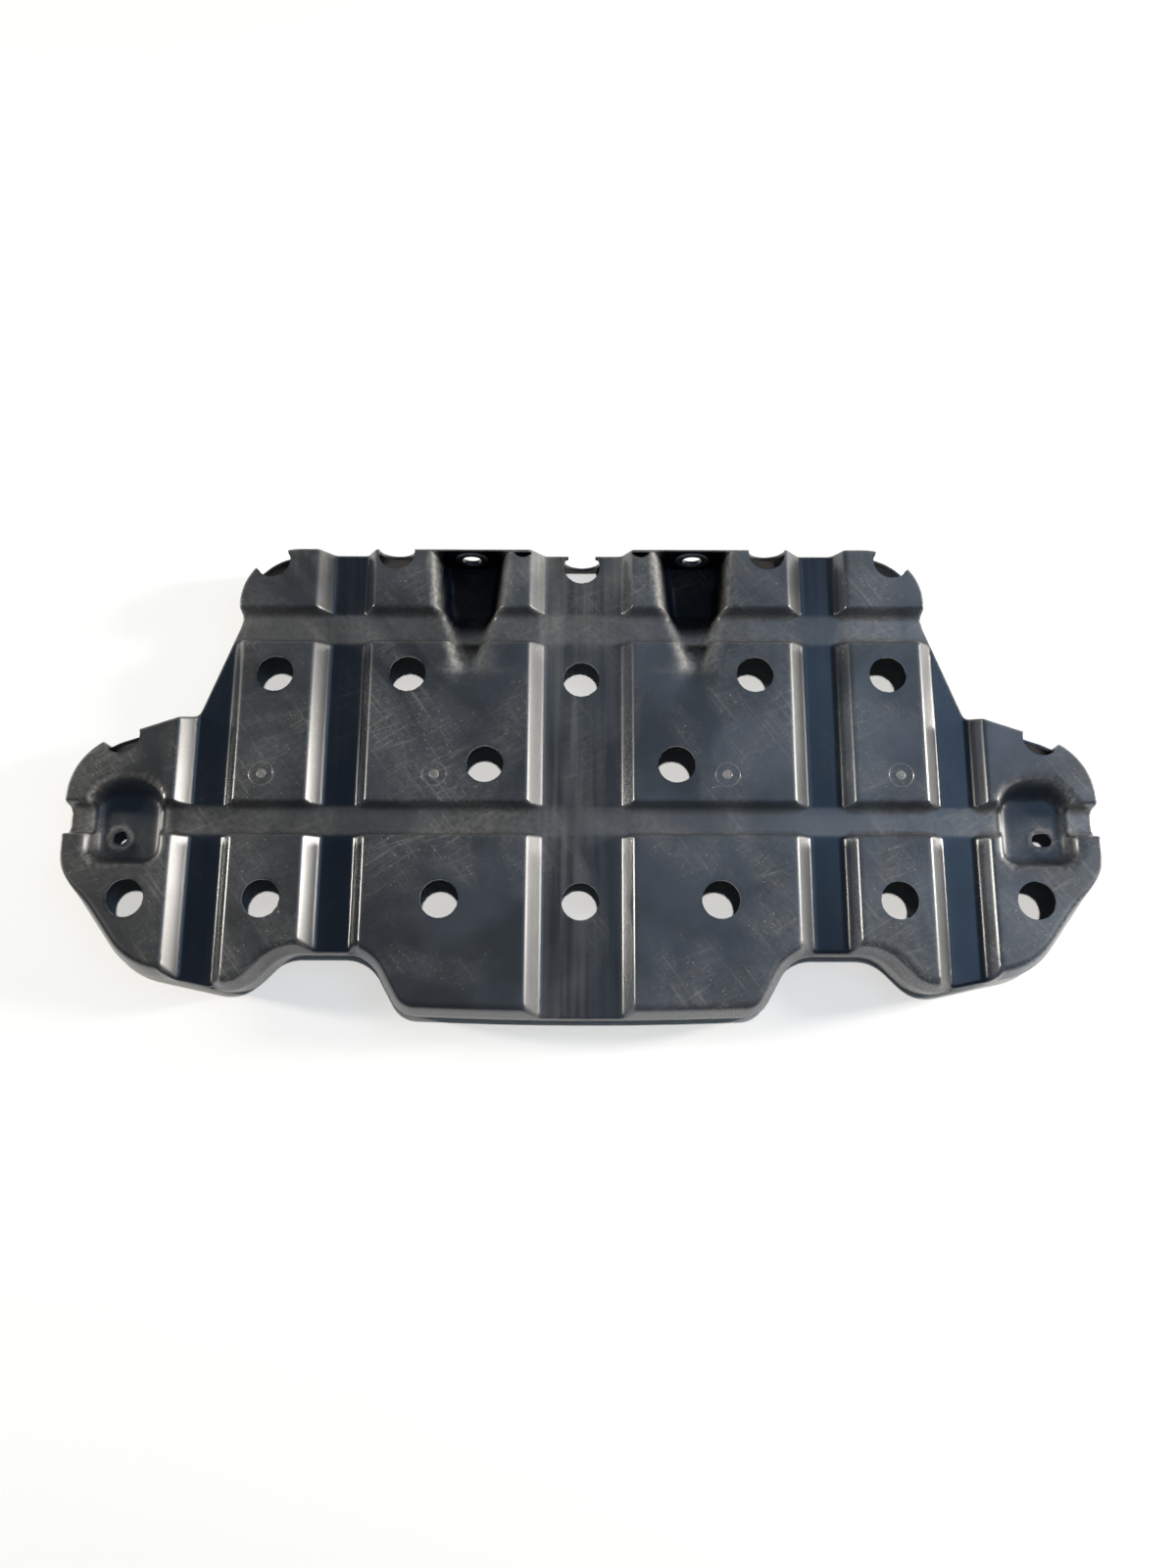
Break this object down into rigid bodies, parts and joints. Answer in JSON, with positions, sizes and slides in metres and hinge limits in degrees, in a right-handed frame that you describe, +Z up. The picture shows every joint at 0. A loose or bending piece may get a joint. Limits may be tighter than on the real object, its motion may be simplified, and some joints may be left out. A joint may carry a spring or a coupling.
{
  "type": "engine splash shield",
  "caption": "Moulded black plastic engine undertray with raised pads, channels, bolt cups, tool troughs, a turned-down edge and rows of round holes.",
  "frame": {"origin": "middle of the bounding box seen from above, on the plane of the lower edge", "axes": "+Z up through the pad tops, +X along the panel's length to its right lobe, +Y to the rear edge with the two tool troughs"},
  "size_m": [0.86, 0.4045, 0.0487],
  "materials": {
    "panel": "satin black moulded plastic, used and dusty"
  },
  "bodies": {
    "root": {"shield_panel": "panel"}
  },
  "joints": []
}
